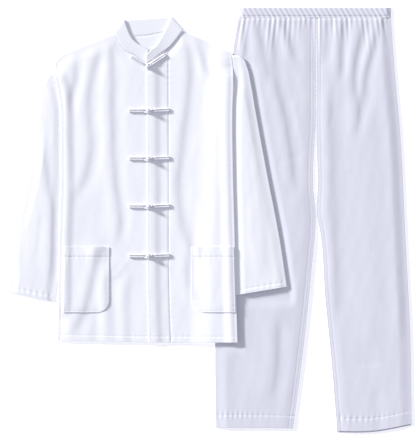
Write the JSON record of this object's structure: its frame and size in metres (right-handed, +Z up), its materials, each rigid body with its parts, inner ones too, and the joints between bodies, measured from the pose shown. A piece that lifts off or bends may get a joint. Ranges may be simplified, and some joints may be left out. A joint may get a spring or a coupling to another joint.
{
  "type": "tai chi uniform",
  "caption": "White cotton martial arts suit laid flat: stand-collar jacket with cord frog buttons over straight trousers with an elastic waist.",
  "frame": {"origin": "centre of the laid set's footprint, on the surface that it lies on", "axes": "+Z up from that surface, +Y towards the collar and the waistband, +X towards the trousers"},
  "size_m": [0.966, 1.0207, 0.0205],
  "materials": {
    "jacket_cloth": "plain woven cotton, matt, pressed",
    "trouser_cloth": "plain woven cotton, matt, pressed",
    "frog_cord": "rolled cotton cord, matt"
  },
  "bodies": {
    "root": {"jacket_back": "jacket_cloth", "front_right": "jacket_cloth", "front_left": "jacket_cloth", "sleeve_right": "jacket_cloth", "sleeve_left": "jacket_cloth", "collar": "jacket_cloth", "pocket_right": "jacket_cloth", "pocket_left": "jacket_cloth", "trouser_front_right": "trouser_cloth", "trouser_front_left": "trouser_cloth", "trouser_back_right": "trouser_cloth", "trouser_back_left": "trouser_cloth", "waistband": "trouser_cloth", "frog_loop_1": "frog_cord", "frog_ball_1": "frog_cord", "frog_loop_2": "frog_cord", "frog_ball_2": "frog_cord", "frog_loop_3": "frog_cord", "frog_ball_3": "frog_cord", "frog_loop_4": "frog_cord", "frog_ball_4": "frog_cord", "frog_loop_5": "frog_cord", "frog_ball_5": "frog_cord"}
  },
  "joints": []
}
